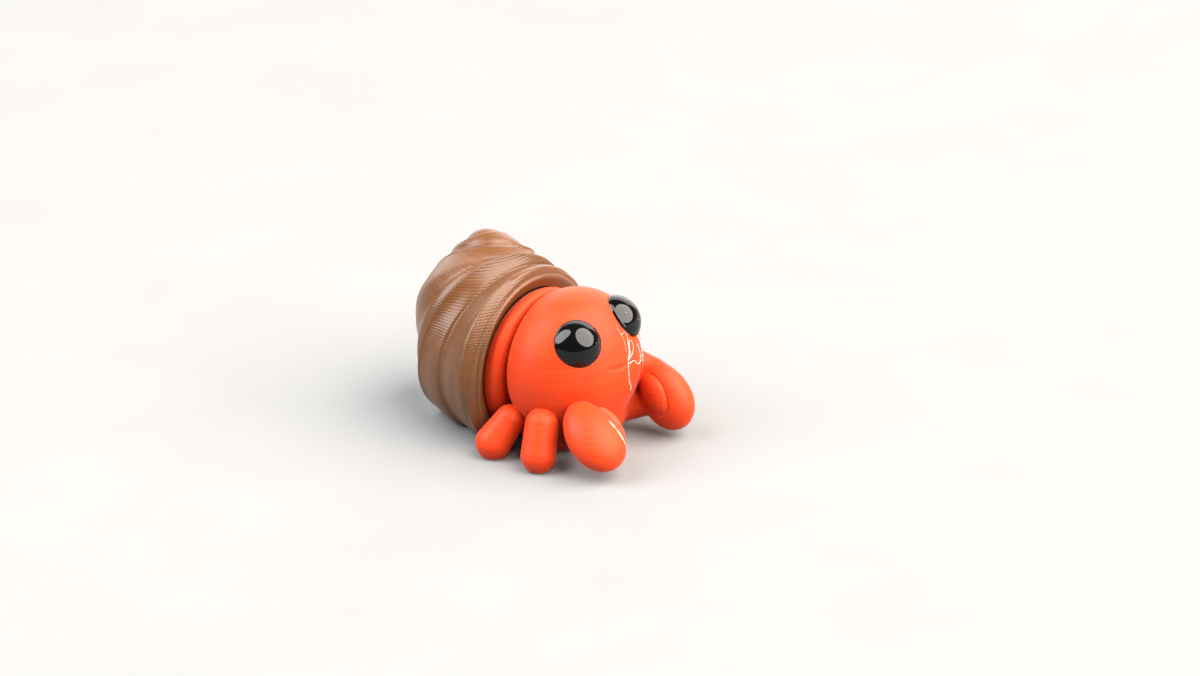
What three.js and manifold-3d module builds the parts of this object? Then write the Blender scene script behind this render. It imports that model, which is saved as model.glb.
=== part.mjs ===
// A small printed toy hermit crab: a coral-red crab with a round head, two glued domed eyes, four stubby
// legs and two pincers, sitting in a brown spiral shell.
// Millimetres, +Z up. The toy faces -Y and its left side is +X. It is modelled round the middle of its head,
// and the last step sets it on the floor (z = 0) with the origin at the bottom centre of its bounding box.
import * as THREE from "three";
import { mergeVertices } from "three/addons/utils/BufferGeometryUtils.js";
import Module from "manifold-3d";

const wasm = await Module();
wasm.setup();

// ---------------------------------------------------------------- driving dimensions
const GAP = 0.25; // clearance between pieces that touch on the real toy
const FLOOR = -6.45; // level of the print bed, measured from the middle of the head
const BOX_REACH = 60; // side of the blocks that trim a piece flat

const HEAD_HALF = new THREE.Vector3(6.45, 5.2, 6.36);
const HEAD_BACK = 2.64; // the head is cut flat here, facing the collar
const HEAD_BASE = -4.3; // and here, over the torso
const HEAD_STEPS = [32, 20]; // sides and rings of each ball
const TORSO_STEPS = [24, 12];
const EYE_STEPS = [20, 20];
const CLAW_STEPS = [20, 13];
const FINGER_STEPS = [16, 10];
const COLLAR_SIDES = 34;

const EYE_RADIUS = 2.0; // a 4 mm dome
const EYE_RISE = 0.9; // top of the dome above the skin
const EYE_TURN = 39; // degrees from straight ahead towards the side

const TORSO_MIDDLE = new THREE.Vector3(0, 0.3, -4.1);
const TORSO_HALF = new THREE.Vector3(5.45, 4.5, 3.3);

const COLLAR_FRONT = HEAD_BACK + GAP;
const COLLAR_BACK = 5.2;
const COLLAR_FACE_RADIUS = 5.1; // flat face behind the head
const COLLAR_BEAD_RADIUS = 6.0; // widest part of the rounded ring
const COLLAR_BEAD_WIDE = 0.62; // half sizes of the ring's rounding, across and along
const COLLAR_BEAD_LONG = 0.75;
const COLLAR_ARC = [-60, 90]; // degrees of the rounding, from the front face to the back
const COLLAR_ARC_STEPS = 6;
const COLLAR_PLUG_STEP = 0.5; // the part inside the shell's mouth is this much smaller in radius
const COLLAR_DROP = 0.33; // the ring's middle is this far below the head's
const COLLAR_SLOPE = 0.53; // and sinks by this much for each millimetre backwards

const SHELL_RADIUS = 7.86; // at the mouth
const SHELL_MOUTH = new THREE.Vector3(0, 4.42, -0.99);
const SHELL_BELLY = new THREE.Vector3(0.25, 8.4, -1.39); // steers the spine backwards
const SHELL_BACK = new THREE.Vector3(1.3, 12.08, 1.65); // steers the spine upwards
const SHELL_TIP = new THREE.Vector3(3.5, 11.5, 7.93);
const SHELL_PITCH = 65; // degrees that the sections tip up by the tip
const SHELL_PITCH_GROWTH = 1.158;
const SHELL_LEAN = 29; // degrees that the spire leans to the toy's left
const SHELL_LEAN_SPAN = [0.07, 0.84]; // part of the spine over which it starts to lean
const SHELL_TAPER = [2.862, 0.728]; // powers that shape how the radius shrinks towards the tip
const LIP_TUCK = 0.09; // the mouth is narrower by this part of the radius
const LIP_LENGTH = 0.05; // of the spine
const SEAM_START = 216.5; // degrees round the mouth, from the bottom, where the seam begins
const SEAM_RATE = 0.944; // how fast each turn of the seam closes on the tip
const SEAM_BEND = 1.114;
const GROOVES = [0, 0.317, 0.627, 1]; // the seam and two creases, as parts of one turn
const RIB_HEIGHT = 0.05; // of the section's radius
const RIB_MIDDLE = 0.7; // height in the rib's profile that lies on the plain section
const MOUTH_DEPTH = 1.1; // recess that takes the collar
const SHELL_RINGS = 46;
const SHELL_SIDES = 40;
const RING_SPACING = 1.25; // rings lie closer together towards the tip

// rods with round ends, given for the left side: two ends with the radius at each
const REAR_LEG = { from: [5.92, 2.06, -3.52], to: [7.23, 2.76, -5.28], radii: [1.26, 1.52] };
const FRONT_LEG = { from: [6.08, -1.44, -2.99], to: [7.13, -1.9, -5.24], radii: [1.37, 1.48] };
const ARM = { from: [3.0, -2.0, -4.8], to: [4.4, -4.6, -3.7], radii: [1.25, 1.25] };
const SHOULDER = { from: [3.97, -2.64, -1.16], to: [4.85, -4.5, -1.15], radii: [1.16, 1.25] };
const ROD_SIDES = 14;
const ROD_CAP_STEPS = 4;

// eggs that lean forward by "tilt" and turn inward by "yaw" degrees, narrower at the top by "taper"
const FINGER_HALF = [0.94, 1.31, 2.0];
const HANDS = {
  left: {
    side: 1,
    eyeLift: 39.5, // degrees above the middle of the head
    eyeProud: 0.13, // the glue holds this eye a little off the head
    claw: { middle: [4.7, -5.91, -3.08], half: [1.83, 2.34, 3.14], tilt: 41.9, yaw: 3.8, taper: 0.11 },
    finger: { middle: [3.55, -5.9, -2.72], half: FINGER_HALF, tilt: 42, yaw: 4, taper: 0 },
  },
  right: {
    side: -1,
    eyeLift: 36.5,
    eyeProud: 0,
    claw: { middle: [4.96, -5.97, -3.21], half: [2.38, 1.76, 3.29], tilt: 55.5, yaw: -15.8, taper: 0.09 },
    finger: { middle: [3.57, -6.3, -2.94], half: FINGER_HALF, tilt: 42, yaw: 4, taper: 0 },
  },
};

const rad = THREE.MathUtils.degToRad;

// ---------------------------------------------------------------- colours and finishes
function paint(color, roughness) {
  return new THREE.MeshStandardMaterial({ color, roughness, metalness: 0 });
}
const CORAL = paint(0xf4532b, 0.45);
const BROWN = paint(0x8a5f46, 0.5);
const BLACK = paint(0x0b0b0d, 0.06);

// ---------------------------------------------------------------- joining and cutting
function toSolid(geometry) {
  const bare = geometry.index ? geometry.clone() : mergeVertices(geometry);
  bare.deleteAttribute("normal");
  bare.deleteAttribute("uv");
  const merged = mergeVertices(bare, 1e-4);
  return new wasm.Manifold(new wasm.Mesh({
    numProp: 3,
    vertProperties: new Float32Array(merged.attributes.position.array),
    triVerts: new Uint32Array(merged.index.array),
  }));
}

function toGeometry(solid) {
  const mesh = solid.getMesh();
  const geometry = new THREE.BufferGeometry();
  geometry.setAttribute("position", new THREE.BufferAttribute(mesh.vertProperties, 3));
  geometry.setIndex(new THREE.BufferAttribute(mesh.triVerts, 1));
  geometry.computeVertexNormals();
  return geometry;
}

function placed(geometry, position, rotation = new THREE.Matrix4()) {
  geometry.applyMatrix4(rotation);
  geometry.translate(...position);
  return toSolid(geometry);
}

function block(min, max) {
  const size = max.map((value, i) => value - min[i]);
  const middle = max.map((value, i) => (value + min[i]) / 2);
  return placed(new THREE.BoxGeometry(...size), middle);
}

const halfReach = BOX_REACH / 2;
const aboveFloor = block([-halfReach, -halfReach, FLOOR], [halfReach, halfReach, FLOOR + BOX_REACH]);

// ---------------------------------------------------------------- basic shapes
function ellipsoid(half, grow, sides, rings) {
  const ball = new THREE.SphereGeometry(1, sides, rings);
  ball.rotateX(Math.PI / 2);
  ball.scale(half.x + grow, half.y + grow, half.z + grow);
  return ball;
}

function mix(start, end, part) {
  return start + (end - start) * part;
}

function rodSolid(side, { from, to, radii }) {
  const start = new THREE.Vector3(...onSide(side, from));
  const run = new THREE.Vector3(...onSide(side, to)).sub(start);
  const long = run.length();
  const rod = new THREE.CapsuleGeometry(1, long, ROD_CAP_STEPS, ROD_SIDES, 1);
  const spots = rod.attributes.position;
  for (let i = 0; i < spots.count; i += 1) {
    const along = THREE.MathUtils.clamp(spots.getY(i), -long / 2, long / 2);
    const radius = mix(...radii, along / long + 1 / 2);
    spots.setXYZ(i, spots.getX(i) * radius, along + (spots.getY(i) - along) * radius, spots.getZ(i) * radius);
  }
  const turn = new THREE.Quaternion().setFromUnitVectors(new THREE.Vector3(0, 1, 0), run.clone().normalize());
  const middle = start.addScaledVector(run, 1 / 2);
  return placed(rod, middle.toArray(), new THREE.Matrix4().makeRotationFromQuaternion(turn));
}

function onSide(side, [x, y, z]) {
  return [side * x, y, z];
}

// ---------------------------------------------------------------- head, torso and eyes
function headSolid(grow) {
  const ball = toSolid(ellipsoid(HEAD_HALF, grow, ...HEAD_STEPS));
  const room = block([-halfReach, -halfReach, HEAD_BASE - grow], [halfReach, HEAD_BACK + grow, halfReach]);
  return ball.intersect(room);
}

function torsoSolid(grow) {
  const body = placed(ellipsoid(TORSO_HALF, grow, ...TORSO_STEPS), TORSO_MIDDLE.toArray());
  const top = HEAD_BASE - GAP + grow;
  const room = block([-halfReach, -halfReach, FLOOR], [halfReach, COLLAR_FRONT - GAP + grow, top]);
  return body.intersect(room);
}

function eyeSolid({ side, eyeLift, eyeProud }) {
  const turn = rad(side * EYE_TURN);
  const lift = rad(eyeLift);
  const level = Math.cos(lift);
  const aim = new THREE.Vector3(level * Math.sin(turn), -level * Math.cos(turn), Math.sin(lift));
  const seat = aim.clone().multiply(HEAD_HALF);
  const normal = seat.clone().divide(HEAD_HALF).divide(HEAD_HALF).normalize();
  const sink = EYE_RADIUS ** 2 / (2 * HEAD_HALF.x); // how far the round head falls away under the dome's rim
  const dome = EYE_RISE + sink - GAP;
  const ballRadius = (EYE_RADIUS ** 2 + dome ** 2) / (2 * dome);
  const middle = seat.addScaledVector(normal, EYE_RISE + eyeProud - ballRadius);
  const turnTo = new THREE.Quaternion().setFromUnitVectors(new THREE.Vector3(0, 0, 1), normal);
  const ball = ellipsoid(new THREE.Vector3(ballRadius, ballRadius, ballRadius), 0, ...EYE_STEPS);
  const placedBall = placed(ball, middle.toArray(), new THREE.Matrix4().makeRotationFromQuaternion(turnTo));
  return placedBall.subtract(headSolid(GAP + eyeProud));
}

// ---------------------------------------------------------------- collar, plugged into the shell
function collarSolid(grow) {
  const front = COLLAR_FRONT - grow;
  const back = COLLAR_BACK + grow;
  const points = [new THREE.Vector2(0, front), new THREE.Vector2(COLLAR_FACE_RADIUS, front)];
  for (let i = 0; i <= COLLAR_ARC_STEPS; i += 1) {
    const angle = rad(mix(...COLLAR_ARC, i / COLLAR_ARC_STEPS));
    const radius = COLLAR_BEAD_RADIUS - COLLAR_BEAD_WIDE * (1 - Math.cos(angle)) + grow;
    points.push(new THREE.Vector2(radius, COLLAR_FRONT + COLLAR_BEAD_LONG * (1 + Math.sin(angle))));
  }
  points.push(new THREE.Vector2(COLLAR_BEAD_RADIUS - COLLAR_PLUG_STEP + grow, back));
  points.push(new THREE.Vector2(0, back));
  const ring = new THREE.LatheGeometry(points, COLLAR_SIDES);
  const shear = new THREE.Matrix4().makeShear(0, 0, 0, -COLLAR_SLOPE, 0, 0);
  ring.applyMatrix4(shear);
  ring.translate(0, 0, -COLLAR_DROP + COLLAR_SLOPE * COLLAR_FRONT);
  return toSolid(ring).intersect(aboveFloor);
}

// ---------------------------------------------------------------- shell: a horn swept along a bent spine
const spine = new THREE.CubicBezierCurve3(SHELL_MOUTH, SHELL_BELLY, SHELL_BACK, SHELL_TIP);

function seamTurns(t) {
  // turns of the seam between the mouth and the section at t
  return (-Math.log(Math.max(1 - t, 1e-6)) / SEAM_RATE) ** (1 / SEAM_BEND);
}

function ribProfile(t, angle) {
  // 0 in a groove, 1 on the crest of a rib
  const turns = (angle - rad(SEAM_START)) / (2 * Math.PI) - seamTurns(t);
  const part = turns - Math.floor(turns);
  const i = GROOVES.findIndex((edge, k) => part >= edge && part <= GROOVES[k + 1]);
  const across = (part - GROOVES[i]) / (GROOVES[i + 1] - GROOVES[i]);
  return Math.sqrt(Math.sin(Math.PI * across));
}

function shellPoint(t, angle) {
  const pitch = rad(SHELL_PITCH) * t ** SHELL_PITCH_GROWTH;
  const lean = rad(SHELL_LEAN) * THREE.MathUtils.smoothstep(t, ...SHELL_LEAN_SPAN);
  const along = new THREE.Vector3(0, Math.cos(pitch), Math.sin(pitch)).multiplyScalar(Math.cos(lean));
  along.x = Math.sin(lean);
  const up = new THREE.Vector3(0, -Math.sin(pitch), Math.cos(pitch));
  const right = new THREE.Vector3().crossVectors(up, along);
  const lip = 1 - LIP_TUCK * Math.max(1 - t / LIP_LENGTH, 0) ** 2;
  const taper = (1 - t ** SHELL_TAPER[0]) ** SHELL_TAPER[1];
  const rib = 1 + RIB_HEIGHT * (ribProfile(t, angle) - RIB_MIDDLE);
  const radius = SHELL_RADIUS * taper * lip * rib;
  const point = spine.getPoint(t);
  point.addScaledVector(up, -radius * Math.cos(angle));
  point.addScaledVector(right, radius * Math.sin(angle));
  return point;
}

function shellSolid() {
  const position = [];
  const index = [];
  for (let i = 0; i < SHELL_RINGS; i += 1) {
    const t = 1 - (1 - i / SHELL_RINGS) ** RING_SPACING;
    for (let j = 0; j < SHELL_SIDES; j += 1) {
      position.push(...shellPoint(t, (j / SHELL_SIDES) * 2 * Math.PI).toArray());
    }
  }
  const tip = position.length / 3;
  position.push(...SHELL_TIP.toArray(), ...SHELL_MOUTH.toArray());
  for (let j = 0; j < SHELL_SIDES; j += 1) {
    const next = (j + 1) % SHELL_SIDES;
    for (let i = 0; i < SHELL_RINGS - 1; i += 1) {
      const a = i * SHELL_SIDES + j;
      const b = i * SHELL_SIDES + next;
      index.push(a, b, a + SHELL_SIDES, b, b + SHELL_SIDES, a + SHELL_SIDES);
    }
    const last = (SHELL_RINGS - 1) * SHELL_SIDES;
    index.push(last + j, last + next, tip);
    index.push(next, j, tip + 1);
  }
  const horn = new THREE.BufferGeometry();
  horn.setAttribute("position", new THREE.BufferAttribute(new Float32Array(position), 3));
  horn.setIndex(index);
  return toSolid(horn).intersect(aboveFloor);
}

function shellWithMouth() {
  const radius = COLLAR_BEAD_RADIUS + GAP;
  const length = 2 * MOUTH_DEPTH; // half of it cuts the recess, and half is in the open
  const plug = new THREE.CylinderGeometry(radius, radius, length, COLLAR_SIDES);
  const mouth = placed(plug, SHELL_MOUTH.toArray());
  return shellSolid().subtract(mouth);
}

// ---------------------------------------------------------------- legs, claws, fingers and arms
function eggSolid(side, { middle, half, tilt, yaw, taper }, grow, steps) {
  const egg = ellipsoid(new THREE.Vector3(...half), grow, ...steps);
  const spots = egg.attributes.position;
  for (let i = 0; i < spots.count; i += 1) {
    const width = 1 - (taper * spots.getZ(i)) / (half[2] + grow);
    spots.setXYZ(i, spots.getX(i) * width, spots.getY(i) * width, spots.getZ(i));
  }
  const turn = new THREE.Matrix4().makeRotationZ(rad(-side * yaw));
  turn.multiply(new THREE.Matrix4().makeRotationX(rad(-tilt)));
  return placed(egg, onSide(side, middle), turn);
}

function clear(solid, neighbours) {
  return neighbours.reduce((rest, neighbour) => rest.subtract(neighbour), solid).intersect(aboveFloor);
}

// ---------------------------------------------------------------- assembly
const toy = new THREE.Group();

function add(name, solid, material) {
  const mesh = new THREE.Mesh(toGeometry(solid), material);
  mesh.name = name;
  toy.add(mesh);
}

const wideHead = headSolid(GAP);
const wideTorso = torsoSolid(GAP);
const wideCollar = collarSolid(GAP);

add("shell", shellWithMouth(), BROWN);
add("collar", collarSolid(0), CORAL);
add("head", headSolid(0), CORAL);
add("torso", torsoSolid(0), CORAL);

for (const [name, hand] of Object.entries(HANDS)) {
  const { side, claw, finger } = hand;
  add(`eye_${name}`, eyeSolid(hand), BLACK);
  const besideLegs = [wideHead, wideTorso, wideCollar];
  add(`leg_rear_${name}`, clear(rodSolid(side, REAR_LEG), besideLegs), CORAL);
  add(`leg_front_${name}`, clear(rodSolid(side, FRONT_LEG), besideLegs), CORAL);
  const wideClaw = eggSolid(side, claw, GAP, CLAW_STEPS);
  const wideFinger = eggSolid(side, finger, GAP, FINGER_STEPS);
  const besideArms = [wideHead, wideTorso, wideClaw, wideFinger];
  add(`claw_${name}`, clear(eggSolid(side, claw, 0, CLAW_STEPS), [wideHead, wideTorso]), CORAL);
  add(`finger_${name}`, clear(eggSolid(side, finger, 0, FINGER_STEPS), [wideClaw, wideHead]), CORAL);
  add(`arm_${name}`, clear(rodSolid(side, ARM), besideArms), CORAL);
  if (name === "left") {
    add(`shoulder_${name}`, clear(rodSolid(side, SHOULDER), besideArms), CORAL); // only this claw has one
  }
}

// the toy stands on the floor with its bounding box centred over the origin
const bounds = new THREE.Box3().setFromObject(toy);
const middle = bounds.getCenter(new THREE.Vector3());
toy.position.set(-middle.x, -middle.y, -bounds.min.z);

const model = new THREE.Group();
model.add(toy);
model.updateMatrixWorld(true);

export default model;
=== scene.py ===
# %% [markdown]
# # A small printed toy hermit crab
# The real toy is about the size of a walnut. It is printed in two plastics: a coral-red crab in one
# piece, and a brown spiral shell that the crab's round collar plugs into. Two black domes are glued
# on for eyes, and the glue has left clear strings on the face.
#
# The measured solids come in first and fix every size. Each visible piece is then built round them in
# the same place, with the detail that a measured solid leaves out.

import math

import bmesh
import bpy
import numpy as np
from mathutils import Matrix, Vector


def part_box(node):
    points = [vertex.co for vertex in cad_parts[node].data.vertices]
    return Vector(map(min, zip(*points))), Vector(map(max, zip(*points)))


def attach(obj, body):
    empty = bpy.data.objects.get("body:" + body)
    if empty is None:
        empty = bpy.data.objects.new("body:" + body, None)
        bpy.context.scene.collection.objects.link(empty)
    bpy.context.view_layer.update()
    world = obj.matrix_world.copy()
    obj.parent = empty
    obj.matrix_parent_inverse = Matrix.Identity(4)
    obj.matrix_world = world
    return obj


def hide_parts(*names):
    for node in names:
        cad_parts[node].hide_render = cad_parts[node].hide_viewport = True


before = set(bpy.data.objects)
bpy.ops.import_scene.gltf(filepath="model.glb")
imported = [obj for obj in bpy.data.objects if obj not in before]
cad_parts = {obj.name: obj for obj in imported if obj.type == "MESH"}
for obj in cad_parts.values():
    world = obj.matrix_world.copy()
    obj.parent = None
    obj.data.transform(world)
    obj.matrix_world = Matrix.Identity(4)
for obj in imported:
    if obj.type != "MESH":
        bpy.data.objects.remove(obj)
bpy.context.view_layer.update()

# %% [markdown]
# ## One starting point for every size
# A toy this small is easiest to describe in millimetres from the middle of its head. The head's solid
# tells where that middle is. Its back is cut flat and its crown is round, so the distance from each of
# these to the middle is a fixed size.

# %% Work in millimetres from the middle of the head
MM = 0.001
HEAD_HALF = (6.45, 5.2, 6.36)  # half the head's width, depth and height
HEAD_BACK = 2.64  # from the head's middle to the flat cut at its back
HEAD_MIDDLE = Vector((
    0.0,
    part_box("head")[1].y - HEAD_BACK * MM,
    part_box("head")[1].z - HEAD_HALF[2] * MM,
))
FLOOR = -HEAD_MIDDLE.z / MM  # the print bed's level, measured from the head's middle
print("middle of the head, mm:", [round(v / MM, 3) for v in HEAD_MIDDLE], "floor:", round(FLOOR, 3))


def to_row(points):
    """Points in millimetres from the head's middle, turned into metres in the shared frame."""
    return np.asarray(points, float) * MM + np.array(HEAD_MIDDLE)


# %% [markdown]
# ## The camera
# The toy is seen from its front right, a little from above, through a long lens that keeps it from
# looking stretched. A camera can be aimed with a constraint. Here its three axes are written out
# instead, so that its small roll is exact.

# %% Place the camera
CAMERA_AZIMUTH = math.radians(-51.5)
CAMERA_HEIGHT = math.radians(24.0)
CAMERA_ROLL = math.radians(-1.0)
CAMERA_DISTANCE = 330.6  # mm from the head's middle
CAMERA_LENS = 120.0  # mm
CAMERA_SENSOR = 36.0  # mm wide
FRAME_SIDE = 2.2  # mm that the frame's middle lies to the right of the head's middle
FRAME_RISE = 2.02  # mm that it lies above it


def camera_axes(azimuth, height, roll):
    """Right, up and backward directions of a camera that looks at the toy."""
    flat = Vector((math.sin(azimuth), -math.cos(azimuth), 0.0))
    back = flat * math.cos(height) + Vector((0.0, 0.0, math.sin(height)))
    right = Vector((0.0, 0.0, 1.0)).cross(back).normalized()
    turn = Matrix.Rotation(roll, 3, back)
    return turn @ right, turn @ back.cross(right), back


right_axis, up_axis, back_axis = camera_axes(CAMERA_AZIMUTH, CAMERA_HEIGHT, CAMERA_ROLL)
lens = bpy.data.cameras.new("camera")
lens.lens = CAMERA_LENS
lens.sensor_width = CAMERA_SENSOR
lens.clip_start, lens.clip_end = 0.01, 20.0  # metres
camera = bpy.data.objects.new("camera", lens)
camera_place = HEAD_MIDDLE + MM * (
    CAMERA_DISTANCE * back_axis + FRAME_SIDE * right_axis + FRAME_RISE * up_axis
)
camera.matrix_world = Matrix.Translation(camera_place) @ Matrix(
    (right_axis, up_axis, back_axis)
).transposed().to_4x4()
bpy.context.scene.collection.objects.link(camera)
bpy.context.scene.camera = camera
print("camera at, mm:", [round(v / MM, 1) for v in camera_place])

# %% [markdown]
# ## Pale floor
# A seamless sheet of pale paper. It is far bigger than the toy, so its edge is never in view. One flat
# face is enough, because the tooth of the paper is part of its finish.

# %% Make the floor
FLOOR_REACH = 3.0  # metres to each side


def new_object(name, points, faces):
    """A smooth-shaded mesh object, from points in metres and faces as lists of point numbers."""
    mesh = bpy.data.meshes.new(name)
    mesh.from_pydata(points, [], faces)
    mesh.polygons.foreach_set("use_smooth", [True] * len(mesh.polygons))
    mesh.update()
    thing = bpy.data.objects.new(name, mesh)
    bpy.context.scene.collection.objects.link(thing)
    return thing


corners = [(-1, -1), (1, -1), (1, 1), (-1, 1)]
floor = new_object("floor", [(x * FLOOR_REACH, y * FLOOR_REACH, 0.0) for x, y in corners], [(0, 1, 2, 3)])
print("floor is", 2 * FLOOR_REACH, "m wide")

# %% [markdown]
# ## Shapes as distances
# The crab is one print: balls, rods and a ring that run into each other with small fillets. Modelling
# each by hand and welding the joints is slow. Instead every part is a formula for how far a point lies
# from its surface, negative inside. Two parts merge by taking the smaller distance, one is cut from
# another by taking the larger, and a little rounding at the switch makes the fillet.

# %% Distance formulas for balls, rods, cuts and joints


def length(*parts):
    """Length of a vector that is given by its components."""
    return np.sqrt(sum(part * part for part in parts))


def ball(p, middle, half):
    """Distance to an ellipsoid with the given half sizes."""
    q = [(p[i] - middle[i]) / half[i] for i in range(3)]
    near = length(*q)
    slope = length(*[q[i] / half[i] for i in range(3)])
    return near * (near - 1.0) / np.maximum(slope, 1e-6)


def rod(p, start, end, start_radius, end_radius):
    """Distance to a straight rod with round ends, which may be thicker at one end."""
    run = np.subtract(end, start)
    q = [p[i] - start[i] for i in range(3)]
    along = np.clip(sum(q[i] * run[i] for i in range(3)) / np.dot(run, run), 0.0, 1.0)
    radius = start_radius + (end_radius - start_radius) * along
    return length(*[q[i] - along * run[i] for i in range(3)]) - radius


def merge(a, b, fillet):
    """Joins two shapes, with a fillet of about the given width in the corner between them."""
    near = np.maximum(fillet - np.abs(a - b), 0.0)
    return np.minimum(a, b) - near * near / (4.0 * fillet)


def keep_inside(a, b, rounding):
    """The part of shape a that is inside b, with the new edge rounded."""
    return -merge(-a, -b, rounding)


print("distance to a 1 mm ball, 2 mm from its middle:", ball([2.0, 0.0, 0.0], (0, 0, 0), (1, 1, 1)))

# %% [markdown]
# ## Head and body
# The head is a ball, a little shallower from front to back than it is wide, and cut flat where it
# meets the collar. The body below it is a flatter ball that reaches down to the print bed. Spheres and
# Boolean cuts would do too, but a cut between two distances rounds its own edge.

# %% Shape the head and the body
HEAD_BASE = -4.3  # the head ends here, and the narrower body goes on down
BODY_MIDDLE = (0.0, 0.3, -4.1)
BODY_HALF = (5.45, 4.5, 3.3)
BACK_EDGE = {"head": 0.28, "body": 0.3}  # mm, rounding of the flat cut at the back
BASE_EDGE = 0.5  # mm, rounding of the cut below the head


def head_shape(p):
    """Distance to the head: a ball, cut flat at its back and below."""
    whole = ball(p, (0, 0, 0), HEAD_HALF)
    whole = keep_inside(whole, p[1] - HEAD_BACK, BACK_EDGE["head"])
    return keep_inside(whole, HEAD_BASE - p[2], BASE_EDGE)


def body_shape(p):
    """Distance to the body: a flatter ball, cut in line with the head's back."""
    return keep_inside(ball(p, BODY_MIDDLE, BODY_HALF), p[1] - HEAD_BACK, BACK_EDGE["body"])


print("head reaches", HEAD_BACK, "mm back and", HEAD_BASE, "mm down")

# %% [markdown]
# ## Collar
# Behind the head a rounded ring closes the shell's mouth. It leans back, so its middle sinks as it
# goes towards the shell. A core joins it to the head at the bottom of a narrow dark groove. A torus
# could make the ring, but a disc with a rounded edge can be as thick as it needs to be.

# %% Shape the collar
COLLAR_FRONT = 3.06  # where the ring's front starts
COLLAR_BEAD = 0.97  # radius of the ring's rounding
COLLAR_RADIUS = 6.2  # of the ring's widest part
COLLAR_BACK = 5.2  # hidden in the shell's mouth
COLLAR_DROP = 0.3
COLLAR_SLOPE = 0.53  # mm down for each mm back
CORE_RADIUS = 4.4
CORE_HALF = 0.8  # how far the core reaches to each side of the head's back


def collar_shape(p):
    """Distances to the rounded ring and to the core."""
    sunk = p[2] + COLLAR_DROP + COLLAR_SLOPE * (p[1] - COLLAR_FRONT)
    radius = length(p[0], sunk)
    outer = COLLAR_RADIUS - COLLAR_BEAD
    middle = (COLLAR_FRONT + COLLAR_BACK) / 2.0
    flat = (COLLAR_BACK - COLLAR_FRONT) / 2.0 - COLLAR_BEAD
    beyond_edge = np.maximum(radius - outer, 0.0)
    beyond_face = np.maximum(np.abs(p[1] - middle) - flat, 0.0)
    ring = length(beyond_edge, beyond_face) - COLLAR_BEAD
    core = np.maximum(radius - CORE_RADIUS, np.abs(p[1] - HEAD_BACK) - CORE_HALF)
    return ring, core


print("collar is", 2 * COLLAR_RADIUS, "mm across")

# %% [markdown]
# ## Legs and claws
# Four stubby legs are plain rods with round ends. A claw is a big egg that tips forward and turns
# inward, with a small egg beside it for the finger. A short arm joins each claw to the body. The left
# claw sits higher on the head than the right one, on one more rod, and the right finger is set further
# forward. So each claw gets its own numbers, where mirrored halves would be less work but untrue.

# %% Shape the legs, claws and arms
LEGS = [  # hip, foot and the radius at each, on the left side, in mm
    ((5.92, 2.06, -3.52), (7.23, 2.76, -5.28), 1.26, 1.52),
    ((6.08, -1.44, -2.99), (7.13, -1.9, -5.24), 1.37, 1.48),
]
CLAW = {  # middle, half sizes, tip forward and turn inward in degrees, and taper towards the top
    "left": ((4.7, -5.91, -3.08), (1.83, 2.34, 3.14), 41.9, 3.8, 0.11),
    "right": ((4.96, -5.97, -3.21), (2.38, 1.76, 3.29), 55.5, -15.8, 0.09),
}
FINGER = {
    "left": ((3.55, -5.9, -2.72), (0.94, 1.31, 2.0), 42.0, 4.0, 0.0),
    "right": ((3.57, -6.3, -2.94), (0.94, 1.31, 2.0), 42.0, 4.0, 0.0),
}
ARM = ((3.0, -2.0, -4.8), (4.4, -4.6, -3.7), 1.25, 1.25)  # on both sides
LEFT_SHOULDER = ((3.97, -2.64, -0.4), (4.8, -4.5, -1.33), 1.12, 1.2)  # the left claw's extra rod


def egg_shape(p, middle, half, tip, turn, taper):
    """Distance to an egg that tips forward and turns inward, on the left side."""
    q = [p[i] - middle[i] for i in range(3)]
    c, s = math.cos(math.radians(turn)), math.sin(math.radians(turn))
    side, ahead = c * q[0] - s * q[1], s * q[0] + c * q[1]
    c, s = math.cos(math.radians(tip)), math.sin(math.radians(tip))
    deep, along = c * ahead - s * q[2], s * ahead + c * q[2]
    width = 1.0 - taper * np.clip(along / half[2], -1.0, 1.0)
    return ball([side / width, deep / width, along], (0, 0, 0), half)


print(2 * len(LEGS), "legs and", len(CLAW) + len(FINGER), "eggs in the claws")

# %% [markdown]
# ## The whole crab as one distance
# The parts are merged in the order that they sit on each other, with wider fillets where the plastic
# flows together, and a hairline where one part only leans on the next. A fine crease runs between each
# claw and its finger, a shallow groove makes the smile, and the print bed cuts everything flat.

# %% Merge the crab's parts
SMILE_HEIGHT = 0.95  # above the head's middle, at the middle of the smile
SMILE_HALF = 1.6
SMILE_LIFT = 0.3  # at the corners
SMILE_RADIUS = 0.3  # of the round tool that presses the groove
SMILE_HELD_OUT = 0.18  # mm that the tool's middle stays outside the head
SMILE_BEHIND = -2.0  # nothing further back than this is pressed
FLARE = 0.05  # mm that the first printed layer stands out
FLARE_HEIGHT = 0.16
CREASE_RADIUS = 0.06  # of the fine groove between a claw and its finger
FILLET = {  # mm, how wide the plastic flows together where a part joins the rest
    "body": 0.5, "core": 0.15, "collar": 0.1, "arm": 0.3, "leg": 0.1,
    "finger": 0.02, "left claw": 0.3, "right claw": 0.12,
}
EDGE = {"crease": 0.03, "smile": 0.12, "bed": 0.05}  # mm, rounding of each cut's edge
SIDES = (("left", 1.0), ("right", -1.0))


def smile_shape(p, head):
    """Distance to the tool that presses the smile; head is the distance to the head."""
    across = np.clip(p[0] / SMILE_HALF, -1.0, 1.0)
    beyond = np.maximum(np.abs(p[0]) - SMILE_HALF, 0.0)
    level = SMILE_HEIGHT + SMILE_LIFT * across * across
    radius = SMILE_RADIUS - (SMILE_RADIUS - SMILE_HELD_OUT) * across * across
    front = np.maximum(p[1] - SMILE_BEHIND, 0.0)
    return length(p[2] - level, head - SMILE_HELD_OUT, beyond, front) - radius


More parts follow.
